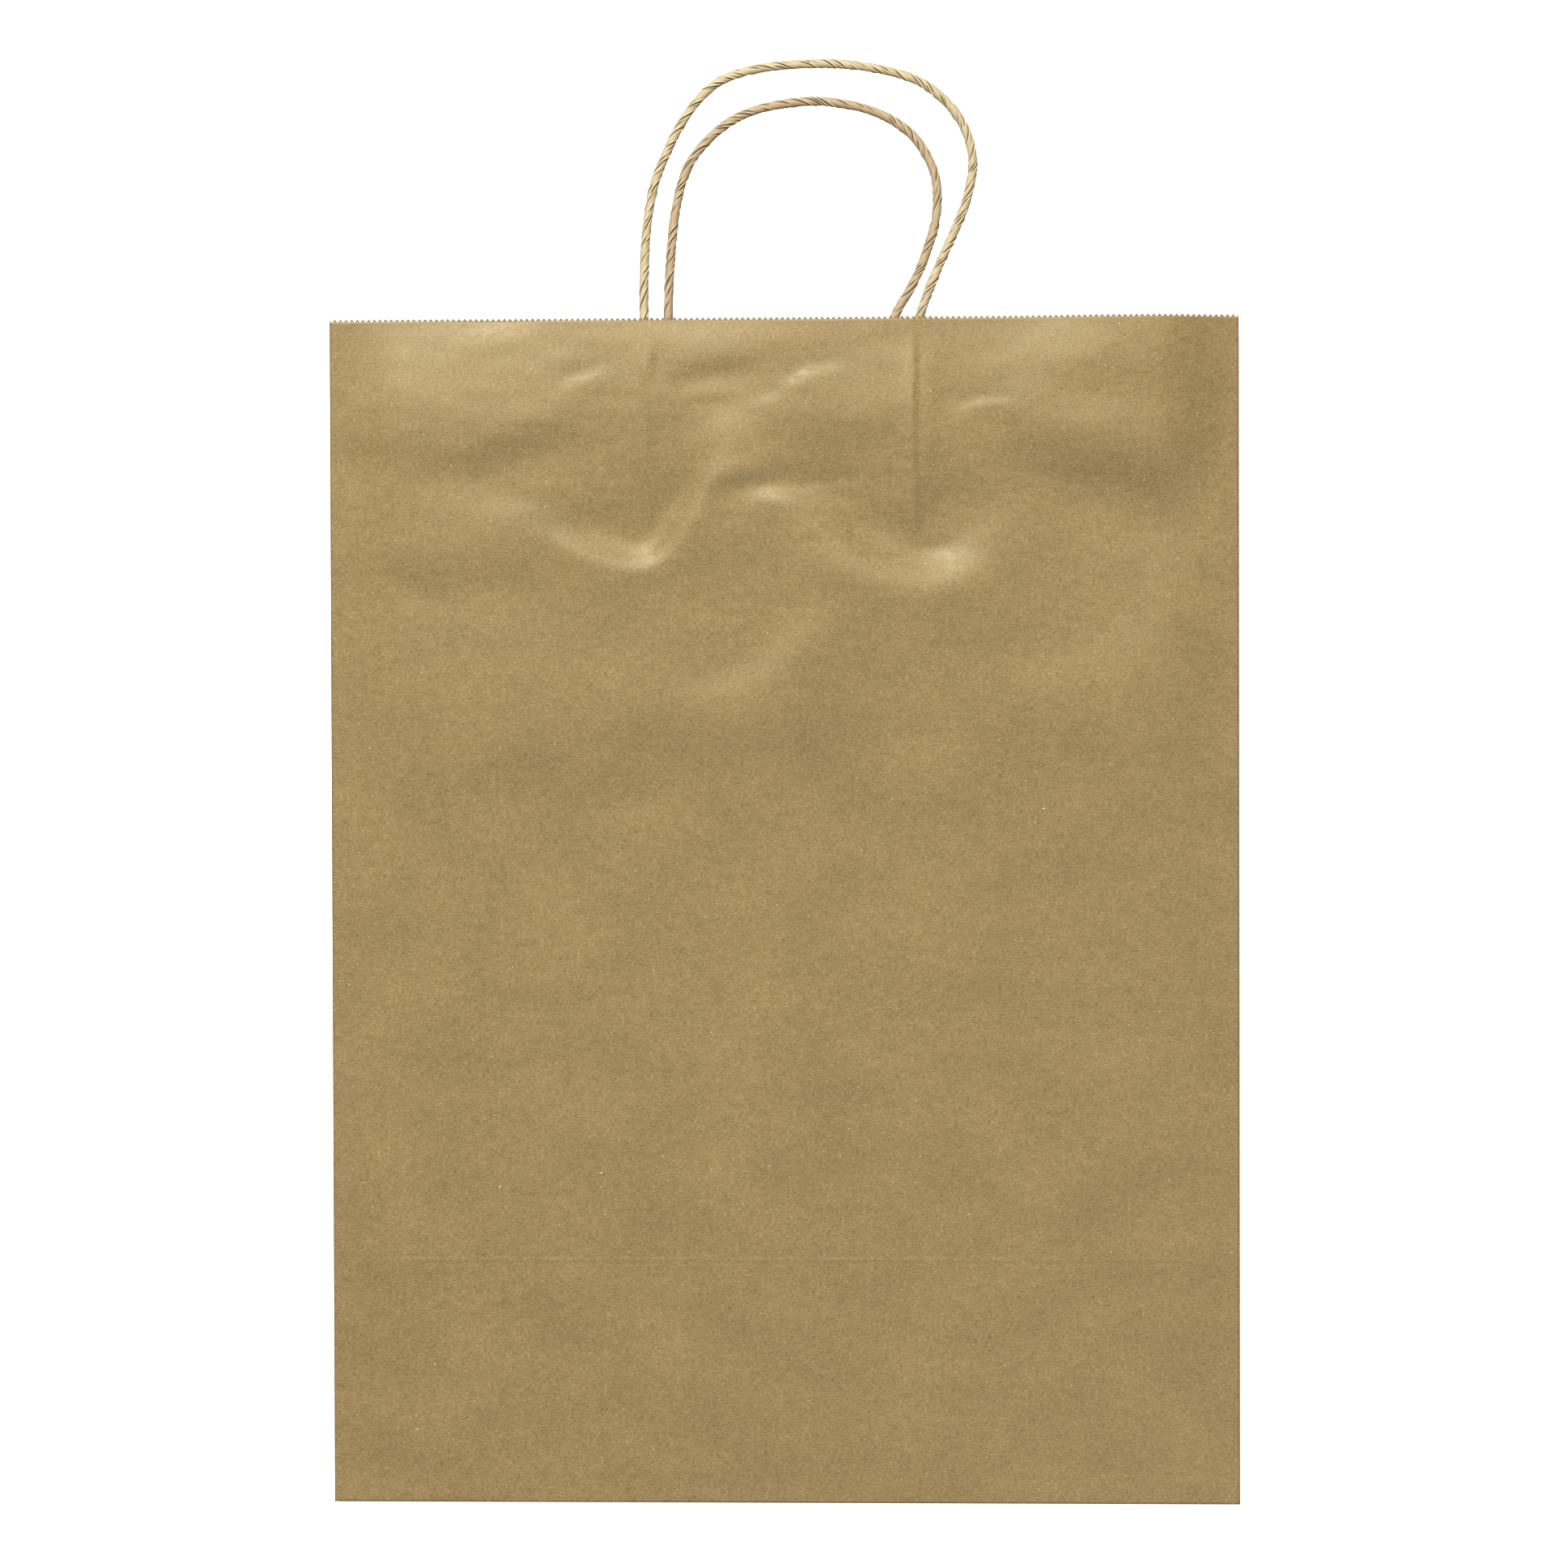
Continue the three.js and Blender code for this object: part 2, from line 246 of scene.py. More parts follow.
# ---------------------------------------------------------------- materials
class Nodes:
    """Short calls for building one node tree."""

    def __init__(self, name):
        self.material = bpy.data.materials.new(name)
        self.material.use_nodes = True
        self.tree = self.material.node_tree
        self.tree.nodes.clear()

    def add(self, kind, settings=None, **inputs):
        """A node with its settings and its inputs; an input is a value or another node's output."""
        node = self.tree.nodes.new(kind)
        for key, value in (settings or {}).items():
            setattr(node, key, value)
        for key, value in inputs.items():
            numbered = key[0] == "i" and key[1:].isdigit()
            slot = node.inputs[int(key[1:]) if numbered else key.replace("_", " ")]
            if isinstance(value, bpy.types.NodeSocket):
                self.tree.links.new(value, slot)
            else:
                slot.default_value = value
        return node

    def stretch(self, place, scale):
        """Coordinates stretched by three scales."""
        return self.add("ShaderNodeVectorMath", {"operation": "MULTIPLY"}, i0=place, i1=scale).outputs[0]

    def noise(self, place, detail, roughness, scale=1.0):
        """Noise with features about one unit of place wide."""
        node = self.add("ShaderNodeTexNoise", None, Vector=place, Scale=scale, Detail=detail,
                        Roughness=roughness)
        return node.outputs["Fac"]

    def scaled(self, value, gain, more=0.0):
        """value times gain, plus more."""
        return self.math("MULTIPLY_ADD", value, gain, more)

    def math(self, operation, first, second=0.0, third=0.0):
        """One sum, product or difference."""
        node = self.add("ShaderNodeMath", {"operation": operation}, i0=first, i1=second, i2=third)
        return node.outputs[0]

    def ramp(self, value, low, high, to_low=0.0, to_high=1.0):
        """An even rise from to_low to to_high while value goes from low to high."""
        node = self.add("ShaderNodeMapRange", {"interpolation_type": "SMOOTHSTEP"}, Value=value)
        for slot, number in zip(("From Min", "From Max", "To Min", "To Max"), (low, high, to_low, to_high)):
            node.inputs[slot].default_value = number
        return node.outputs[0]

    def mix(self, share, first, second):
        """A colour between two others."""
        node = self.add("ShaderNodeMix", {"data_type": "RGBA"})
        for slot, value in ((0, share), (6, first), (7, second)):
            if isinstance(value, bpy.types.NodeSocket):
                self.tree.links.new(value, node.inputs[slot])
            else:
                node.inputs[slot].default_value = value
        return node.outputs[2]


def linear(red, green, blue):
    """An sRGB colour of 0 to 255 as linear light."""
    values = np.array([red, green, blue]) / 255
    light = np.where(values <= 0.04045, values / 12.92, ((values + 0.055) / 1.055) ** 2.4)
    return (*light.tolist(), 1.0)


DARK_SPECK = linear(92, 72, 44)
PALE_FLECK = linear(214, 204, 176)
SHEEN_TINT = (1.0, 0.88, 0.6, 1.0)


def paper_finish(n, colour, rough, relief, strength, depth, specular):
    """Ends a paper material: colour, roughness and a fine bump, depth in metres. Returns its shader."""
    bump = n.add("ShaderNodeBump", None, Strength=strength, Distance=depth, Height=relief)
    shader = n.add("ShaderNodeBsdfPrincipled", None, Base_Color=colour, Roughness=rough,
                   Normal=bump.outputs[0])
    shader.inputs["Specular IOR Level"].default_value = specular
    n.add("ShaderNodeOutputMaterial", None, Surface=shader.outputs[0])
    return shader


def kraft(name, dark, middle, light, fibre=1.0):
    """Unbleached kraft paper: soft clouds, curly fibres, rare dark specks and pale flecks, a dull sheen."""
    n = Nodes(name)
    place = n.add("ShaderNodeAttribute", {"attribute_name": "place"}).outputs["Vector"]
    cloud = n.noise(n.stretch(place, (0.03, 0.045, 1)), 4.0, 0.55)
    blotch = n.noise(n.stretch(place, (0.22, 0.34, 1)), 3.0, 0.6)
    warp = n.add("ShaderNodeTexNoise", None, Vector=place, Scale=0.7, Detail=1.0).outputs["Color"]
    bent = n.add("ShaderNodeVectorMath", {"operation": "MULTIPLY_ADD"},
                 i0=warp, i1=(2.0, 2.0, 0.0), i2=place).outputs[0]
    fibres = n.noise(n.stretch(bent, (0.75, 1.9, 1)), 3.0, 0.62)
    grain = n.noise(n.stretch(place, (2.4, 3.2, 1)), 2.0, 0.6)
    gains = {"fibres": 0.55 * fibre, "grain": 0.62 * fibre, "blotch": 0.15, "cloud": 0.16}
    tone = n.scaled(fibres, gains["fibres"], n.math("MULTIPLY", grain, gains["grain"]))
    tone = n.scaled(blotch, gains["blotch"], tone)
    tone = n.scaled(cloud, gains["cloud"], tone)
    centre = sum(gains.values()) / 2
    share = n.ramp(tone, centre - 0.22, centre + 0.275)
    colour = n.mix(n.ramp(share, 0.0, 0.5), dark, middle)
    colour = n.mix(n.ramp(share, 0.5, 1.0), colour, light)
    specks = n.noise(n.stretch(bent, (0.55, 0.85, 1)), 2.0, 0.45)
    colour = n.mix(n.ramp(specks, 0.73, 0.79, 0.0, 0.55), colour, DARK_SPECK)
    flecks = n.noise(n.stretch(place, (0.62, 0.8, 1.3)), 0.0, 0.3)
    colour = n.mix(n.ramp(flecks, 0.90, 0.92, 0.0, 0.8), colour, PALE_FLECK)
    relief = n.scaled(fibres, 0.8, n.math("MULTIPLY", grain, 0.6))
    rough = n.ramp(blotch, 0.3, 0.7, 0.43, 0.53)
    shader = paper_finish(n, colour, rough, relief, strength=0.3, depth=0.00006, specular=0.5)
    shader.inputs["Specular Tint"].default_value = SHEEN_TINT
    return n.material


def cord_paper(name, crease_shade, body, lip):
    """Twisted paper cord: its own pale tone, fine fibres along the twist, painted shade in the narrow
    creases and a painted highlight on the raised lips beside them.
    """
    n = Nodes(name)
    place = n.add("ShaderNodeAttribute", {"attribute_name": "place"}).outputs["Vector"]
    rise = n.add("ShaderNodeAttribute", {"attribute_name": "rise"}).outputs["Fac"]
    fibre = n.noise(n.stretch(place, (0.3, 3.4, 1)), 3.0, 0.6)
    cloud = n.noise(n.stretch(place, (0.14, 0.5, 1)), 2.0, 0.5)
    grain = n.noise(n.stretch(place, (3.0, 4.0, 3.0)), 2.0, 0.6)
    tone = n.scaled(fibre, 0.34, n.scaled(cloud, 0.3, n.math("MULTIPLY", grain, 0.12)))
    # the colour darkens in the grooves as painted shade and pales on the raised lips as a painted highlight
    share = n.math("ADD", rise, n.math("SUBTRACT", tone, 0.38))
    colour = n.mix(n.ramp(share, 0.05, 0.6), crease_shade, body)
    colour = n.mix(n.ramp(share, 0.6, 1.05), colour, lip)
    relief = n.scaled(fibre, 0.8, n.math("MULTIPLY", grain, 0.4))
    rough = n.ramp(cloud, 0.3, 0.7, 0.55, 0.7)
    paper_finish(n, colour, rough, relief, strength=0.45, depth=0.00012, specular=0.4)
    return n.material


KRAFT_OUTSIDE = kraft(
    "kraft_outside", dark=linear(103, 84, 49), middle=linear(131, 110, 71), light=linear(159, 138, 98))
KRAFT_INSIDE = kraft(
    "kraft_inside", dark=linear(101, 82, 49), middle=linear(128, 107, 70), light=linear(155, 134, 96))
KRAFT_PATCH = kraft(
    "kraft_patch", dark=linear(102, 82, 47), middle=linear(122, 100, 61), light=linear(142, 120, 80),
    fibre=1.2)
# The first colour of each cord is painted shade for its creases, the last a painted highlight for its lips.
CORD_FRONT = cord_paper(
    "cord_front", crease_shade=linear(80, 60, 30), body=linear(176, 158, 118), lip=linear(208, 194, 156))
CORD_BACK = cord_paper(
    "cord_back", crease_shade=linear(74, 54, 30), body=linear(162, 140, 104), lip=linear(194, 173, 136))

# ---------------------------------------------------------------- cords
CORD_RADIUS = 1.7
CORD_STEP = 0.35
TWIST_PITCH = 18.0
CREASES = 6  # paper creases round the cord
CREASE_DEPTH = 0.46
CREASE_FLANKS = (0.12, 0.32)  # steep and easy side of a crease, in radians
# the lip also gets a painted highlight in the cord's colour
LIP_PLACE, LIP_WIDTH, LIP_SHARE = 0.30, 0.16, 0.35  # the raised paper edge beside a crease, in radians
RING = 64
LEG_END = 76.0  # depth of the glued leg below the mouth
# Routes of the two loops: (x, height above the mouth), from the left leg to the right one.
FRONT_LOOP = [
    (-50.5, 3.5), (-50.3, 16.2), (-49.7, 29), (-48.3, 40), (-46, 50.2), (-42.2, 59.5),
    (-37.6, 68.8), (-31.2, 78.1), (-23.2, 85.3), (-13.4, 89.1), (-2.4, 91), (8.6, 91.7),
    (18.8, 91.7), (29.8, 90.6), (40.9, 88.3), (50.2, 84.9), (57.8, 79.4), (63.7, 72.6),
    (67.6, 64.6), (69.2, 55.2), (68, 46.8), (65.9, 39.1), (62, 29.8), (57.4, 19.6),
    (54.2, 12), (50.9, 3.5), (49.0, -3), (48.6, -9), (49.5, -16), (50.3, -24),
]
BACK_LOOP = [
    (-41.6, 3.5), (-40.8, 20.5), (-39.7, 33.2), (-38.2, 42.5), (-35.9, 51), (-32.9, 57.4),
    (-27, 64.6), (-18.5, 71.4), (-9.2, 75.4), (2.7, 77.7), (12.9, 78.3), (21.4, 77.4),
    (29.8, 75.6), (38.3, 72.2), (46.8, 66.3), (51.9, 59.5), (55.3, 51.8), (56.3, 42.5),
    (55.3, 33.2), (52.7, 24.7), (50.2, 17.9), (46.1, 9.5), (42.4, 3.5), (39.7, -3), (39.0, -9),
    (40.2, -16), (41.4, -24),
]


def even_line(points, step):
    """A smooth line through the points (a centripetal Catmull-Rom curve), sampled at even steps."""
    points = np.asarray(points, float)
    ends = 2 * points[[0, -1]] - points[[1, -2]]
    points = np.vstack([ends[:1], points, ends[1:]])
    dense = []
    for p0, p1, p2, p3 in zip(points, points[1:], points[2:], points[3:]):
        t0 = 0.0
        t1 = t0 + np.linalg.norm(p1 - p0) ** 0.5
        t2 = t1 + np.linalg.norm(p2 - p1) ** 0.5
        t3 = t2 + np.linalg.norm(p3 - p2) ** 0.5
        t = np.linspace(t1, t2, 60, endpoint=False)[:, None]
        a1 = (t1 - t) / (t1 - t0) * p0 + (t - t0) / (t1 - t0) * p1
        a2 = (t2 - t) / (t2 - t1) * p1 + (t - t1) / (t2 - t1) * p2
        a3 = (t3 - t) / (t3 - t2) * p2 + (t - t2) / (t3 - t2) * p3
        b1 = (t2 - t) / (t2 - t0) * a1 + (t - t0) / (t2 - t0) * a2
        b2 = (t3 - t) / (t3 - t1) * a2 + (t - t1) / (t3 - t1) * a3
        dense.append((t2 - t) / (t2 - t1) * b1 + (t - t1) / (t2 - t1) * b2)
    dense = np.vstack([*dense, points[-2:-1]])
    along = np.concatenate([[0], np.cumsum(np.linalg.norm(np.diff(dense, axis=0), axis=1))])
    wanted = np.linspace(0, along[-1], int(round(along[-1] / step)) + 1)
    return np.stack([np.interp(wanted, along, dense[:, k]) for k in range(3)], -1), wanted


def waves(along, seed, lengths):
    """Gentle even noise between about -1 and 1: a sum of sines with given wavelengths."""
    rng = np.random.default_rng(seed)
    total = sum(np.sin(2 * np.pi * along / length + rng.uniform(0, 2 * np.pi)) for length in lengths)
    return total / math.sqrt(len(lengths))


def cord_profile(along, seed):
    """Radius and rise (0 in a groove, 1 on a lip) round the cord, for each place along it. The rise paints
    light into the cord's colour: shade in the grooves, a highlight on the lips.
    """
    rng = np.random.default_rng(seed)
    around = 2 * np.pi * np.arange(RING) / RING
    even = CORD_RADIUS * (0.965 + 0.03 * waves(along, seed + 1, (7, 11, 23, 41)))
    radius = np.repeat(even[:, None], RING, axis=1)
    shade = np.zeros(radius.shape)
    lip_highlight = np.zeros(radius.shape)
    for k in range(CREASES):
        centre = 2 * np.pi * (k + rng.uniform(-0.3, 0.3)) / CREASES
        centre = centre + 0.22 * waves(along, seed + 30 + k, (13, 29, 47))
        depth = CREASE_DEPTH * smooth(0.45 + 0.7 * waves(along, seed + 10 + k, (9, 16, 31)))
        away = (around[None, :] - centre[:, None] + np.pi) % (2 * np.pi) - np.pi
        groove = np.exp(-((away / np.where(away < 0, *CREASE_FLANKS)) ** 2))
        lip = np.exp(-(((away + LIP_PLACE) / LIP_WIDTH) ** 2))
        radius += depth[:, None] * (LIP_SHARE * lip - groove)
        # painted shade: the deeper a crease, the darker its colour
        shade = np.maximum(shade, groove ** 1.4 * (depth / CREASE_DEPTH)[:, None])
        # painted highlight on the raised paper lips beside the creases
        lip_highlight = np.maximum(lip_highlight, lip * (depth / CREASE_DEPTH)[:, None])
    return radius, np.clip(0.72 - 0.82 * shade + 0.28 * lip_highlight, 0, 1)


def twisted_cord(name, loop, leg_node, seed, finish):
    """One cord: glued leg, loop, glued leg. Returns the piece, its centreline in metres and its length."""
    height = layer(f"{leg_node}_right")
    inner_x = span(f"{leg_node}_right", 0)[0] + CORD_RADIUS
    route = [(-inner_x, -LEG_END), *loop, (inner_x, -LEG_END)]
    points = [(x, HEIGHT + y, height) for x, y in route]
    line, along = even_line(points, CORD_STEP)
    tangent = np.gradient(line, axis=0)
    tangent /= np.linalg.norm(tangent, axis=1, keepdims=True)
    left = np.stack([-tangent[:, 1], tangent[:, 0], np.zeros(len(line))], -1)
    up = np.array([0.0, 0.0, 1.0])
    radius, rise = cord_profile(along, seed)
    wobble = 0.5 * waves(along, seed + 5, (37, 53, 89))
    turn = 2 * np.pi * along / TWIST_PITCH + wobble
    angle = turn[:, None] + 2 * np.pi * np.arange(RING) / RING
    outward = np.cos(angle)[..., None] * left[:, None] + np.sin(angle)[..., None] * up
    ring = line[:, None] + radius[..., None] * outward
    rows = len(line)
    index = np.arange(rows * RING).reshape(rows, RING)
    after = np.roll(index, -1, axis=1)
    faces = np.stack([index[:-1], index[1:], after[1:], after[:-1]], -1).reshape(-1, 4)
    ends = []
    for row, flip in ((0, False), (rows - 1, True)):
        for k in range(1, RING // 2):
            quad = [index[row, k - 1], index[row, k], index[row, RING - 1 - k], index[row, RING - k]]
            ends.append(quad[::-1] if flip else quad)
    faces = np.vstack([faces, ends])
    place = np.stack([
        np.broadcast_to(along[:, None], radius.shape),
        np.broadcast_to(np.arange(RING) * 2 * np.pi * CORD_RADIUS / RING, radius.shape),
        np.full(radius.shape, NEXT_CORD * seed),
    ], -1)
    # the rise attribute carries the painted crease shade and lip highlight to the material
    piece = make_mesh(name, ring.reshape(-1, 3), faces,
                      [("place", "FLOAT_VECTOR", place), ("rise", "FLOAT", rise)])
    piece.data.materials.append(finish)
    return piece, to_frame(line[::6]), along[-1]


def add_handle(side, loop, seed, finish):
    """One cord handle, made as a single fixed piece in place of the CAD legs and loop, which are hidden."""
    piece, path, length = twisted_cord(f"{side}_cord", loop, f"{side}_handle_leg", seed, finish)
    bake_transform(piece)
    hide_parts(f"{side}_handle_leg_left", f"{side}_handle_leg_right", f"{side}_handle_loop")


add_handle("front", FRONT_LOOP, 3, CORD_FRONT)
add_handle("back", BACK_LOOP, 8, CORD_BACK)

# ---------------------------------------------------------------- front panel with its relief
# Each stroke is a slope band: steepness, half width, then its points (x, distance below the mouth), from
# left to right or from bottom to top. The panel rises towards the right-hand side of a positive stroke.
STROKES = [
    (0.32, 5.0, [(-80, 79), (-70, 84), (-60, 87.5), (-50, 88), (-43, 83)]),
    (0.44, 5.2, [(-49, 87), (-43, 82), (-37, 72), (-31, 61), (-26, 55)]),
    (0.18, 6.0, [(-82, 76), (-66, 81), (-52, 84)]),
    (0.11, 6.0, [(-118, 64), (-100, 69), (-84, 72)]),
    (0.30, 3.8, [(-14, 63), (0, 64), (14, 65.5), (27, 69)]),
    (0.44, 9.0, [(14, 79), (32, 87), (51, 92), (72, 89)]),
    (0.22, 6.0, [(4, 67), (18, 73), (34, 80)]),
    (0.12, 7.0, [(60, 83), (72, 77), (82, 70)]),
    (0.20, 1.6, [(6, 62), (20, 61), (31, 60)]),
    (-0.34, 3.6, [(-27, 62), (-15, 59), (-3, 56.5)]),
    (-0.30, 1.3, [(48.6, 76), (48.2, 45), (48.6, 6)]),
    (-0.22, 3.2, [(50, 80), (50, 60)]),
    (-0.14, 6.0, [(53, 76), (54, 45), (55, 14)]),
    (0.06, 4.0, [(-54, 72), (-55, 45), (-55, 22)]),
    (-0.14, 1.8, [(-47.5, 52), (-47, 46), (-47.5, 41)]),
    (-0.16, 2.0, [(-48.5, 24), (-47, 18), (-47, 12)]),
    (0.15, 2.4, [(-81, 26), (-73, 21.5), (-64, 18.5)]),
    (0.12, 2.4, [(-9, 31), (1, 27.5)]),
    (0.20, 2.8, [(2, 24.5), (9, 20), (20, 19)]),
    (0.14, 1.8, [(63, 33), (74, 31), (85, 31)]),
    (-0.20, 4.0, [(-42, 21), (-26, 18.5), (-9, 17)]),
    (-0.16, 6.0, [(-132, 52), (-110, 53), (-92, 45), (-74, 39)]),
    (-0.12, 2.0, [(-35, 30), (-18, 29)]),
    (0.10, 7.0, [(-34, 48), (-22, 39), (-8, 34)]),
    (-0.14, 7.0, [(2, 42), (20, 45), (42, 42)]),
    (-0.42, 14.0, [(84, 48), (104, 54), (128, 60), (168, 62)]),
    (-0.12, 9.0, [(-155, 90), (-125, 93), (-90, 92)]),
    (0.14, 9.0, [(-38, 137), (-18, 134), (-5, 126), (5, 116), (16, 103)]),
    (-0.06, 1.6, [(-44, 114), (-20, 115), (-2, 111)]),
    (0.08, 12.0, [(78, 133), (110, 127), (140, 108)]),
    (-0.10, 12.0, [(-135, 168), (-80, 164), (-40, 156), (0, 156)]),
    (0.16, 5.0, [(-118, 2), (-104, 4), (-92, 3)]),
    (0.08, 20.0, [(-165, 6), (-115, 4), (-62, -2)]),
    (0.08, 6.0, [(-60, 3), (-30, 5), (10, 3)]),
    (-0.10, 9.0, [(-163, 46), (-140, 52)]),
    (-0.12, 10.0, [(92, 22), (125, 24), (168, 28)]),
    (-0.50, 1.2, [(-150.4, 428), (-150.2, 420), (-151.6, 413)]),
    (0.20, 2.5, [(-163, 428), (-157, 424), (-152, 419)]),
    (0.34, 1.6, [(142, 424), (152, 422), (163, 424)]),
]


def stroke_height(x, below, slope, width, points):
    """Height of one soft slope band, fading at its ends and back to level on both sides."""
    points = np.asarray(points, float)
    length = np.linalg.norm(np.diff(points, axis=0), axis=1)
    along = np.concatenate([[0], np.cumsum(length)])
    count = int(np.ceil(along[-1] / (width * 0.5))) + 1
    wanted = np.linspace(0, along[-1], count)
    line = np.stack([np.interp(wanted, along, points[:, k]) for k in (0, 1)], -1)
    tangent = np.gradient(line, axis=0)
    tangent /= np.linalg.norm(tangent, axis=1, keepdims=True)
    step = along[-1] / (count - 1)
    share = wanted / along[-1]
    fade = smooth(0.3 + np.minimum(share, 1 - share) / 0.35)
    total = np.zeros(x.shape)
    for spread, part in ((0.9, 0.62), (1.9, 0.38)):
        sigma = width * spread
        gain = slope * part * step / (sigma * np.sqrt(2 * np.pi))
        for (cx, cy), (tx, ty), f in zip(line, tangent, fade):
            near = (np.abs(x - cx) < 4 * sigma) & (np.abs(below - cy) < 4 * sigma)
            dx, dy = x[near] - cx, below[near] - cy
            bell = np.exp(-(dx * dx + dy * dy) / (2 * sigma * sigma))
            total[near] += gain * f * (dy * tx - dx * ty) * bell
    return total


def ripples(x, below, seed, count, shortest, longest):
    """Small uneven waves, most of them running across the bag, with slopes of about 1."""
    rng = np.random.default_rng(seed)
    total = np.zeros(x.shape)
    for _ in range(count):
        length = rng.uniform(shortest, longest)
        heading = rng.normal(np.pi / 2, 0.55)
        k = 2 * np.pi / length
        phase = k * (x * np.cos(heading) + below * np.sin(heading)) + rng.uniform(0, 2 * np.pi)
        total += rng.normal() * np.sin(phase) / k
    return total / math.sqrt(count / 2)


LIFT = 2.8  # how far the layers inside lift the front panel near the mouth
LOWEST = -1.3  # the furthest that the panel sinks
LOWEST_ON_PATCH = -0.05  # and the furthest over the handle patch
SOFT = 0.12  # how gently it settles there
FOLD_LINE, BOTTOM_LINE = (0.08, 0.7), (0.03, 0.8)  # height and width of the pressed lines


def crease(distance, height, width):
    """A fine pressed line: a low ridge with a shallow groove on either side."""
    s = distance / width
    return height * (1 - s * s) * np.exp(-s * s / 2)


def front_relief(x, y):
    """Height of the front panel above flat, from the handle patch behind it and from handling."""
    below = HEIGHT - y
    total = sum(stroke_height(x, below, *stroke) for stroke in STROKES)
    near_mouth = smooth((115 - below) / 60)
    fine = ripples(x, below, seed=11, count=60, shortest=7, longest=26)
    broad = ripples(x, below, seed=12, count=40, shortest=60, longest=160)
    total = total + fine * (0.004 + 0.012 * near_mouth) + broad * 0.006
    rightward = smooth((x - 70) / 70)
    total = total + LIFT * smooth((below + 12 + 38 * rightward) / 55) * smooth((215 - below) / 110)
    over_patch = smooth((78 - np.abs(x)) / 4) * smooth((86 - below) / 4)
    under = LOWEST + (LOWEST_ON_PATCH - LOWEST) * over_patch
    total = under + SOFT * np.logaddexp(0, (total - under) / SOFT)
    ends = smooth((np.abs(x) - 145) / 6)
    total = total + crease(y - FOLD_Y + 2.1 * ends, *FOLD_LINE)
    total = total + crease(y - BOTTOM_Y - 3, *BOTTOM_LINE) * smooth((90 - np.abs(x + 20)) / 20)
    sides = smooth((EDGE_X - np.abs(x)) / 30)
    return total * sides


WALL_Y = 0.1  # the outermost place of the fold along the bag's foot
WALL_LOW = 0.65  # height at which the front panel begins there
FINE_Y = 235.0  # above this place the rows lie close together
LEG_LINES = (-50, 50)  # where the cord legs press through, with closer columns up to LEG_ROOM beside them
LEG_ROOM = 7


def front_rows():
    """Places up the front panel: close together near the mouth, wider apart below."""
    lower = np.concatenate([np.arange(WALL_Y + LIP, 24, 1.0), np.arange(24, FINE_Y, 3.0)])
    creases = [fold + step for fold in (FOLD_Y, BOTTOM_Y + 3) for step in np.arange(-3.5, 2.1, 0.5)]
    upper = np.arange(FINE_Y, HEIGHT - 2.2, 1.1)
    rows = np.unique(np.round(np.concatenate([lower, creases, upper]), 3))
    keep = np.concatenate([[True], np.diff(rows) > 0.2])
    return np.concatenate([rows[keep], [HEIGHT - LAST_ROW]])


def add_front_panel():
    """The front panel: turned under along the foot, pinked along the mouth, with its relief between."""
    x = -HALF_WIDTH + TOOTH / 2 * np.arange(1, 2 * TEETH)
    columns = [x, [-EDGE_X, EDGE_X]]
    for leg in LEG_LINES:
        near = x[np.abs(x - leg) < LEG_ROOM]
        columns.append((near[:-1] + near[1:]) / 2)
    x = np.sort(np.concatenate(columns))
    wall = [(WALL_Y, z) for z in np.linspace(WALL_LOW, Z_FRONT - LIP, 6)[:-1]]
    turn = [(WALL_Y + LIP + y, z) for y, z in arc(0, Z_FRONT - LIP, LIP, 180, 90, 7)[:-1]]
    flat = [(y, Z_FRONT) for y in front_rows()]
    rows = np.array(wall + turn + flat)
    middle = np.zeros((len(rows) + 1, len(x), 3))
    middle[..., 0] = x
    middle[:-1, :, 1] = rows[:, :1]
    middle[:-1, :, 2] = rows[:, 1:]
    middle[-1, :, 1] = HEIGHT - tooth_drop(x)
    middle[-1, :, 2] = Z_FRONT
    on_face = smooth((middle[..., 1] - 1.0) / 6.0)
    middle[..., 2] += front_relief(middle[..., 0], middle[..., 1]) * on_face
    piece = paper_sheet("front_sheet", middle, 1, KRAFT_OUTSIDE)
    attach(piece, "front")
    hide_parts("front_panel")


add_front_panel()


# ---------------------------------------------------------------- gussets
def sheet_columns(start, end):
    """Evenly spaced places, half a tooth apart."""
    return np.linspace(start, end, int(round(abs(end - start) / (TOOTH / 2))) + 1)


def tall_rows(step):
    """Even shares of the bag's height, about step apart."""
    return np.linspace(0, 1, int(HEIGHT / step))


def toothed(middle, drift=0.0):
    """Adds the pinked zigzag as the top row of a grid, a little lower than on the front."""
    top = middle[-1:].copy()
    middle = middle.copy()
    middle[-1, :, 1] = HEIGHT - LAST_ROW_BEHIND
    top[0, :, 1] = HEIGHT - LAYER_DROP - tooth_drop(top[0, :, 0], drift)
    return np.concatenate([middle, top])


def folded_edge(panel_z, half_z):
    """(x, z) points of a sharp side fold, from the gusset half inwards of it to the panel's edge."""
    turn = 0.12
    middle_z = (panel_z + half_z) / 2
    towards = math.copysign(1, panel_z - half_z)
    return np.array([
        (SIDE_X - LIP, half_z),
        (SIDE_X - 0.6 * LIP, half_z + 0.18 * (panel_z - half_z)),
        (SIDE_X, middle_z),
        (SIDE_X + 0.5 * LIP, middle_z + 0.28 * (panel_z - half_z)),
        (EDGE_X + 0.04, panel_z - towards * 2 * turn),
        (EDGE_X + 0.06, panel_z - towards * turn),
        (EDGE_X + 0.04, panel_z - towards * 0.3 * turn),
        (EDGE_X - 0.02, panel_z),
    ])


def flat_columns(half_z):
    """(x, z) points of the flat part of a gusset half, from its centre crease to its side fold."""
    return flat_profile(sheet_columns(CREASE_X, SIDE_X - LIP)[:-1], half_z)


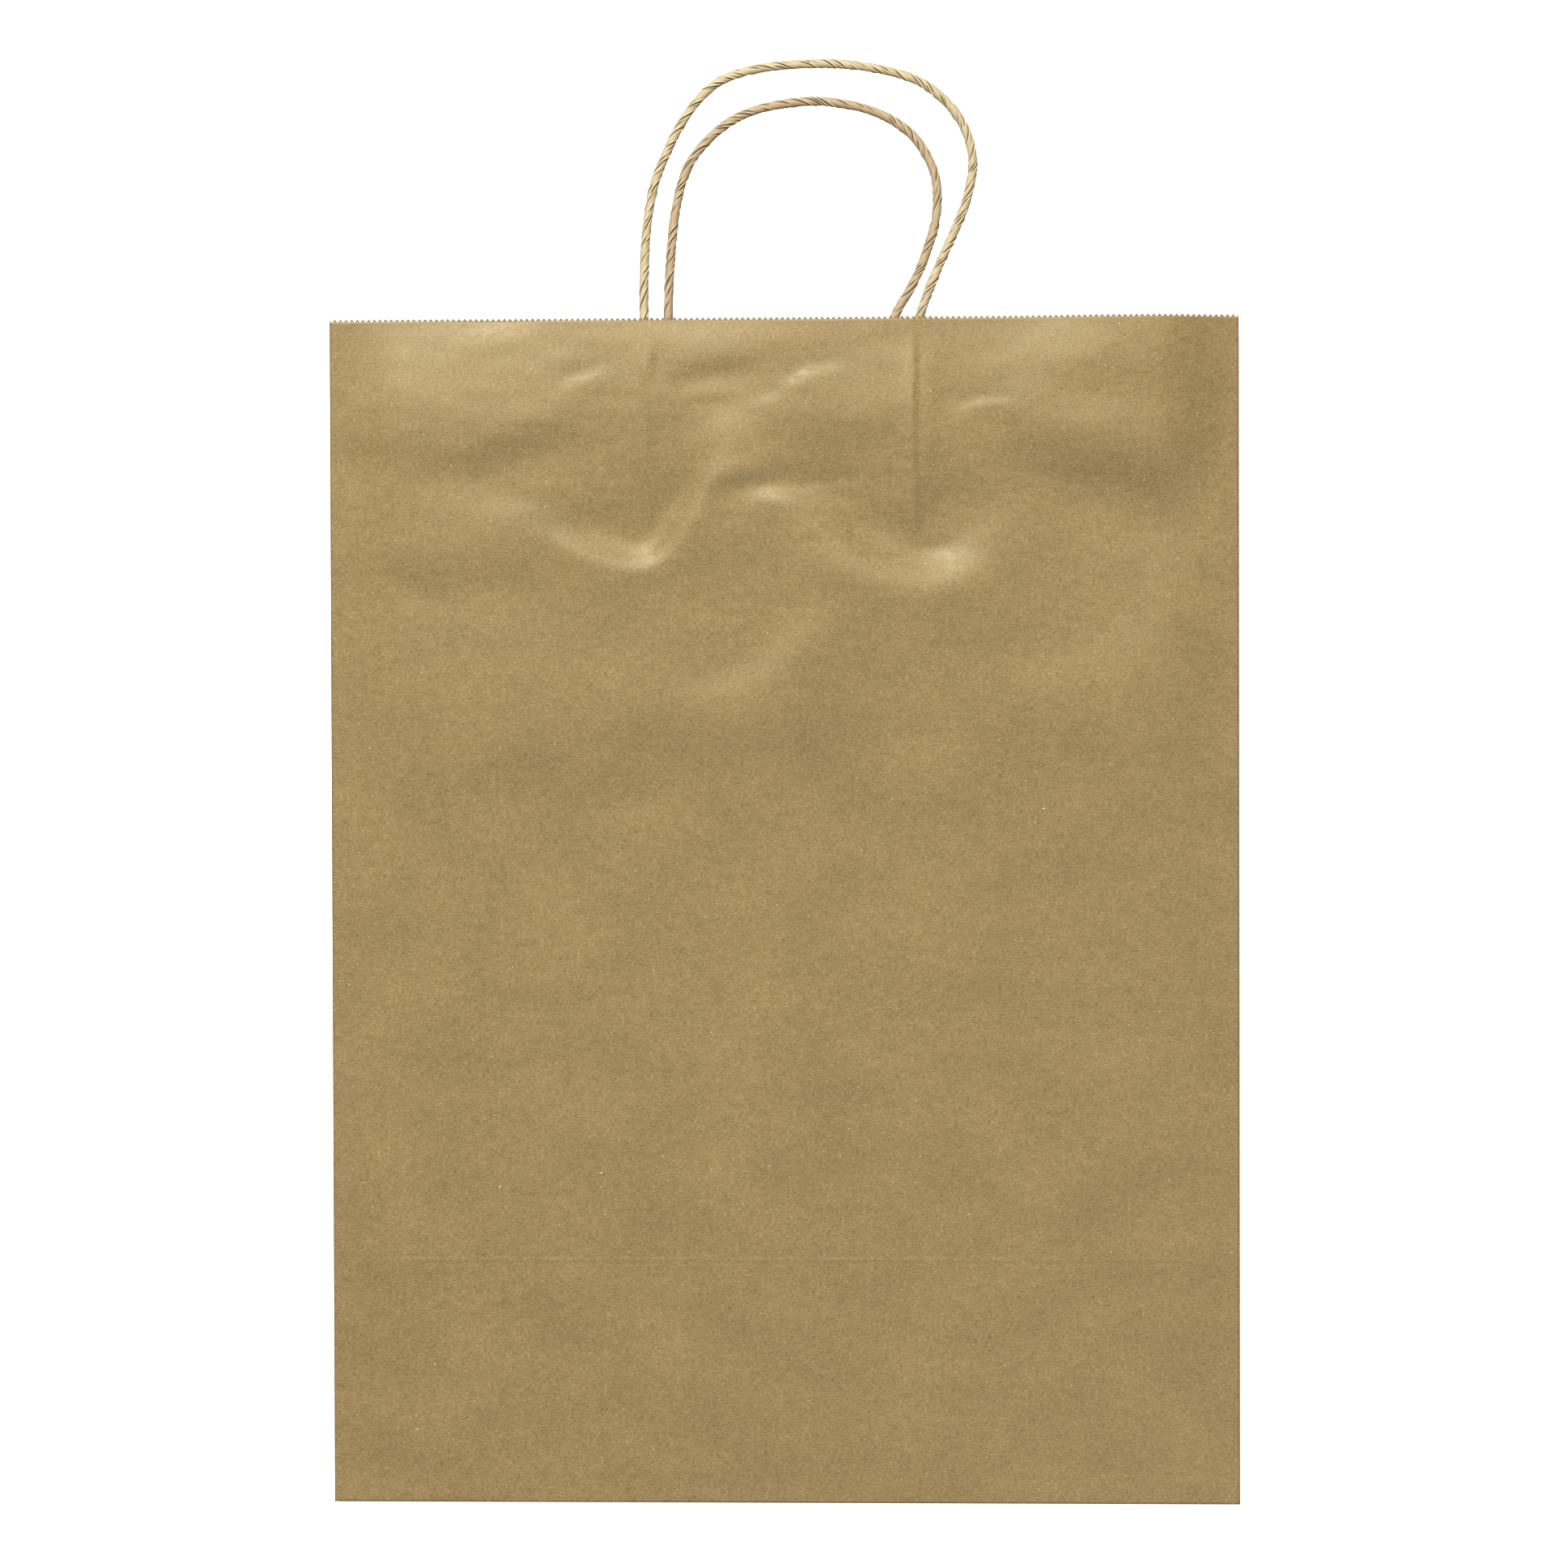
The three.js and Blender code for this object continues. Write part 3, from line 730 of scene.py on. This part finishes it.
def meet_halfway(middle, low, sign):
    """Moves the lower edge of a gusset half down (-1), or that of a web up (1), to halfway between them."""
    gap = (Z_FRONT_HALF - Z_BOTTOM_WEB) / 2
    inward = smooth((SIDE_X - middle[..., 0]) / 15) * smooth((FOLD_Y - 4 - low) / 15)
    middle[..., 2] += sign * gap * inward * (1 - smooth((middle[..., 1] - low) / 22))


def add_front_half(side, name):
    """Front half of a gusset with its side fold, which is split on the right, where it is no joint."""
    joined = side < 0
    fold = folded_edge(Z_FRONT, Z_FRONT_HALF)
    kept = fold if joined else fold[:3]
    profile = np.vstack([flat_columns(Z_FRONT_HALF), kept])
    low = HALF_WIDTH - profile[:, 0] + 2 * EDGE_GAP
    corner = low[-len(kept)]
    low[-len(kept):] = np.linspace(corner, EDGE_GAP if joined else corner / 2, len(kept))
    middle = toothed(ruled(profile, low, HEIGHT, tall_rows(5.0)))
    meet_halfway(middle, low, -1)
    piece = paper_sheet(f"{name}_gusset_front_sheet", mirrored(middle, side), 2 + side, KRAFT_INSIDE)
    if joined:
        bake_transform(piece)
    else:
        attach(piece, f"{name}_gusset_front")
        middle = toothed(ruled(fold[2:], EDGE_GAP, HEIGHT, tall_rows(6.0)))
        edge = paper_sheet(f"{name}_front_edge", middle, 4, KRAFT_OUTSIDE)
        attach(edge, "front")
    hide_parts(f"{name}_gusset_front")


def add_back_half(side, name):
    """Back half of a gusset, folded at the side edge and, below, round the flat-bottom crease."""
    profile = np.vstack([flat_columns(Z_BACK_HALF), folded_edge(Z_BACK, Z_BACK_HALF)])
    middle = toothed(ruled(profile, FOLD_Y, HEIGHT, tall_rows(6.0)), -0.05)
    quarter = (Z_BACK_HALF - Z_BACK_WEB) / 2
    angles = np.radians([90, 67, 45, 22])[:, None]
    lip_rows = np.repeat(middle[:1], len(angles), axis=0)
    inward = smooth((SIDE_X - lip_rows[..., 0]) / 4)
    lip_rows[..., 1] = FOLD_Y - quarter * np.sin(angles) * inward - 0.05 * np.linspace(4, 1, 4)[:, None]
    lip_rows[..., 2] -= quarter * (1 - np.cos(angles)) * inward
    middle = np.concatenate([lip_rows, middle])
    piece = paper_sheet(f"{name}_gusset_back_sheet", mirrored(middle, side), 5 + side, KRAFT_INSIDE)
    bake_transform(piece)
    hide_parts(f"{name}_gusset_back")


def add_centre_crease(side, name):
    """The inward fold between the two halves of a gusset."""
    fold = arc(CREASE_X, (Z_BACK_HALF + Z_FRONT_HALF) / 2, LIP, 270, 90, 9)
    middle = toothed(ruled(fold, FOLD_Y, HEIGHT, tall_rows(8.0)))
    piece = paper_sheet(f"{name}_centre_crease", mirrored(middle, side), 8 + side, KRAFT_INSIDE)
    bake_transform(piece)


SIDES = ((-1, "left"), (1, "right"))
for gusset in SIDES:
    add_front_half(*gusset)
    add_back_half(*gusset)
    add_centre_crease(*gusset)


# ---------------------------------------------------------------- back and bottom
def add_back():
    """The back panel above the flat-bottom crease, and the seam flap glued inside it."""
    x = sheet_columns(-EDGE_X, EDGE_X)
    middle = toothed(ruled(flat_profile(x, Z_BACK), FOLD_Y + 0.05, HEIGHT, tall_rows(6.0)), 0.12)
    piece = paper_sheet("back_sheet", middle, 12, KRAFT_OUTSIDE)
    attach(piece, "back")
    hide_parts("back_panel")

    profile = flat_profile(np.linspace(*span("seam_flap", 0), 24), layer("seam_flap"))
    middle = ruled(profile, FOLD_Y + 0.3, span("seam_flap", 1)[1] - FOOT, tall_rows(6.0))
    piece = paper_sheet("seam_flap_sheet", middle, 13, KRAFT_INSIDE)
    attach(piece, "back")
    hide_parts("seam_flap")


def cross_sheet(profile, halves):
    """Grid whose rows follow a (y, z) profile, each row from -half to half across."""
    profile = np.asarray(profile, float)
    shares = np.linspace(-1, 1, 110)
    middle = np.zeros((len(profile), len(shares), 3))
    middle[..., 0] = np.asarray(halves, float)[:, None] * shares
    middle[..., 1] = profile[:, :1]
    middle[..., 2] = profile[:, 1:]
    return middle


def add_lower_back():
    """The lower strip of the back, folded under along the flat-bottom crease."""
    radius = (Z_BACK - Z_LOWER) / 2
    turn = arc(FOLD_Y, (Z_BACK + Z_LOWER) / 2, radius, 90, 270, 9)
    strip = [(y, Z_LOWER) for y in np.linspace(FOLD_Y + 3, BOTTOM_Y - 0.02, 30)]
    rows = np.vstack([turn, strip])[::-1]
    middle = cross_sheet(rows, np.full(len(rows), BOTTOM_X))
    piece = paper_sheet("lower_back_sheet", middle, 14, KRAFT_OUTSIDE)
    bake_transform(piece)
    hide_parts("back_panel_lower")


def add_bottom():
    """The back and front flaps of the bottom, the tucks between them and the webs at the corners."""
    radius = (Z_LOWER - Z_FLAP_BACK) / 2
    turn = arc(BOTTOM_Y, (Z_LOWER + Z_FLAP_BACK) / 2, radius, 90, -90, 11)
    y = np.linspace(BOTTOM_Y - 3, BOTTOM_Y - FLAP_DEPTH, 24)
    rows = np.vstack([turn, flat_profile(y, Z_FLAP_BACK)])
    halves = np.concatenate([np.full(len(turn), BOTTOM_X), BOTTOM_X - (BOTTOM_Y - y)])
    piece = paper_sheet("back_bottom_flap_sheet", cross_sheet(rows, halves), 15, KRAFT_OUTSIDE)
    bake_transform(piece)
    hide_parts("bottom_flap_back")

    y = np.linspace(FOOT_LINE, EDGE_GAP + FLAP_DEPTH, 26)
    middle = cross_sheet(flat_profile(y, Z_FLAP_FRONT), BOTTOM_X - (y - y[0]))
    piece = paper_sheet("front_bottom_flap_sheet", middle, 16, KRAFT_OUTSIDE)
    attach(piece, "bottom")
    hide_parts("bottom_flap_front")

    for side, name in SIDES:
        x = np.linspace(HALF_WIDTH - FLAP_DEPTH, WEB_EDGE, 50)
        taper = TUCK_TAPER * (HALF_WIDTH - x) / FLAP_DEPTH
        low, high = FOOT_LINE + taper, BOTTOM_Y - EDGE_GAP - taper
        middle = ruled(flat_profile(x, Z_TUCK), low, high, np.linspace(0, 1, 40))
        piece = paper_sheet(f"{name}_tuck_sheet", mirrored(middle, side), 18 + side, KRAFT_INSIDE)
        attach(piece, "bottom")
        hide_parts(f"bottom_tuck_{name}")
        add_webs(side, name)


def web_reach(profile):
    """How far a web reaches from the flat-bottom crease, at each point of its profile."""
    return np.minimum(profile[:, 0], WEB_EDGE) - CREASE_X - 0.3


def add_webs(side, name):
    """The two triangles that fold round the bottom corner, each with its small lip at the side."""
    radius = (Z_BOTTOM_WEB - Z_TUCK) / 2
    lip = arc(WEB_EDGE, (Z_BOTTOM_WEB + Z_TUCK) / 2, radius, -90, 90, 7)
    x = np.linspace(WEB_EDGE, CREASE_X + 1.2, 60)
    profile = np.vstack([lip, flat_profile(x[1:], Z_BOTTOM_WEB)])
    low, high = FOLD_Y - web_reach(profile), FOLD_Y + web_reach(profile) - 0.3
    middle = ruled(profile, low, high, np.linspace(0, 1, 50))
    meet_halfway(middle, low, 1)
    piece = paper_sheet(f"{name}_bottom_web_sheet", mirrored(middle, side), 21 + side, KRAFT_INSIDE)
    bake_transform(piece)
    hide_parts(f"{name}_bottom_web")

    radius = (Z_LOWER - Z_BACK_WEB) / 2
    lip = arc(WEB_EDGE, (Z_LOWER + Z_BACK_WEB) / 2, radius, 90, -90, 7)
    x = np.linspace(WEB_EDGE, CREASE_X + 1.6, 60)
    profile = np.vstack([lip, flat_profile(x[1:], Z_BACK_WEB)])[::-1]
    middle = ruled(profile, FOLD_Y + 0.1, FOLD_Y + web_reach(profile) - 0.6, np.linspace(0, 1, 40))
    piece = paper_sheet(f"{name}_back_web_sheet", mirrored(middle, side), 24 + side, KRAFT_INSIDE)
    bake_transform(piece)
    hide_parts(f"{name}_back_web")


add_back()
add_lower_back()
add_bottom()


# ---------------------------------------------------------------- handle patches
PATCH_SPREAD = 0.03  # share by which the patches widen from their lower to their upper edge
HUMP_ROOM = 0.3  # how far a hump stands off the cord under it
SKIRT = 0.6  # how fast the cover settles beside a hump


def patch_sheet(name, part, profile, seed):
    """One ply of a handle patch."""
    rows = np.linspace(0, 1, 30)
    middle = ruled(profile, PATCH_LOW, PATCH_HIGH, rows)
    middle[..., 0] *= 1 + PATCH_SPREAD * rows[:, None]
    piece = paper_sheet(f"{name}_patch_{part}_sheet", middle, seed, KRAFT_PATCH)
    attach(piece, name)
    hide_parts(f"{name}_patch_{part}")


def add_patch(name, sign, seed):
    """Two plies with the cord legs between them. sign is the way the humps point."""
    base_z = layer(f"{name}_patch_base")
    half = span(f"{name}_patch_base", 0)[1] / (1 + PATCH_SPREAD)
    flat_z = base_z + sign * (Z_BACK - Z_LOWER)
    leg_x = span(f"{name}_handle_leg_right", 0)[0] + CORD_RADIUS
    over_cord = abs(layer(f"{name}_handle_leg_right") - flat_z)
    patch_sheet(name, "base", flat_profile(np.linspace(-half, half, 110), base_z), seed)

    near_legs = [np.linspace(leg - 4.5, leg + 4.5, 40) for leg in (-leg_x, leg_x)]
    x = np.unique(np.concatenate([np.linspace(-half, half, 90), *near_legs]))
    hump = CORD_RADIUS + HUMP_ROOM
    away = np.minimum(np.abs(x - leg_x), np.abs(x + leg_x))
    inside = np.clip(1 - (away / hump) ** 2, 0, 1) ** 0.5
    skirt = np.exp(-np.maximum(away - hump, 0) / SKIRT)
    rise = np.where(inside > 0, over_cord + hump * inside, over_cord * skirt)
    patch_sheet(name, "cover", np.stack([x, flat_z + sign * rise], -1), seed + 1)


add_patch("front", -1, 30)
add_patch("back", 1, 33)


# ---------------------------------------------------------------- floor and light
FLOOR_SIZE = 60  # metres
FLOOR_DROP = 0.0004  # metres under the bag
FLOOR_GLOW = 0.85
WORLD_GLOW = 0.3


def add_floor():
    """The white sheet under the bag. It glows, and lights nothing."""
    n = Nodes("floor")
    place = n.add("ShaderNodeTexCoord").outputs["Object"]
    tone = n.noise(place, 3.0, 0.5, scale=14.0)
    colour = n.mix(tone, (0.86, 0.86, 0.86, 1), (0.9, 0.9, 0.9, 1))
    shader = n.add("ShaderNodeBsdfPrincipled", None, Base_Color=colour, Roughness=0.9)
    shader.inputs["Emission Color"].default_value = (1, 1, 1, 1)
    shader.inputs["Emission Strength"].default_value = FLOOR_GLOW
    n.add("ShaderNodeOutputMaterial", None, Surface=shader.outputs[0])
    bpy.ops.mesh.primitive_plane_add(size=FLOOR_SIZE, location=(0, 0, -FLOOR_DROP))
    floor = bpy.context.object
    floor.name = "floor"
    floor.data.materials.append(n.material)
    floor.visible_diffuse = False
    floor.visible_glossy = False


def add_light(name, place, size, power):
    """A white round lamp turned to the frame's origin: place and size in metres, power in watts."""
    light = bpy.data.objects.new(name, bpy.data.lights.new(name, "AREA"))
    light.data.shape = "DISK"
    light.data.size = size
    light.data.energy = power
    light.location = place
    light.rotation_euler = (Vector((0, 0, 0)) - Vector(place)).to_track_quat("-Z", "Y").to_euler()
    scene.collection.objects.link(light)


add_floor()
add_light("key", (-0.95, 2.66, 3.5), 0.9, 300)
add_light("fill", (0.9, -1.2, 2.4), 1.6, 15)
world = bpy.data.worlds.new("world")
world.use_nodes = True
world.node_tree.nodes["Background"].inputs["Color"].default_value = (1, 1, 1, 1)
world.node_tree.nodes["Background"].inputs["Strength"].default_value = WORLD_GLOW
scene.world = world
scene.view_settings.view_transform = "Standard"
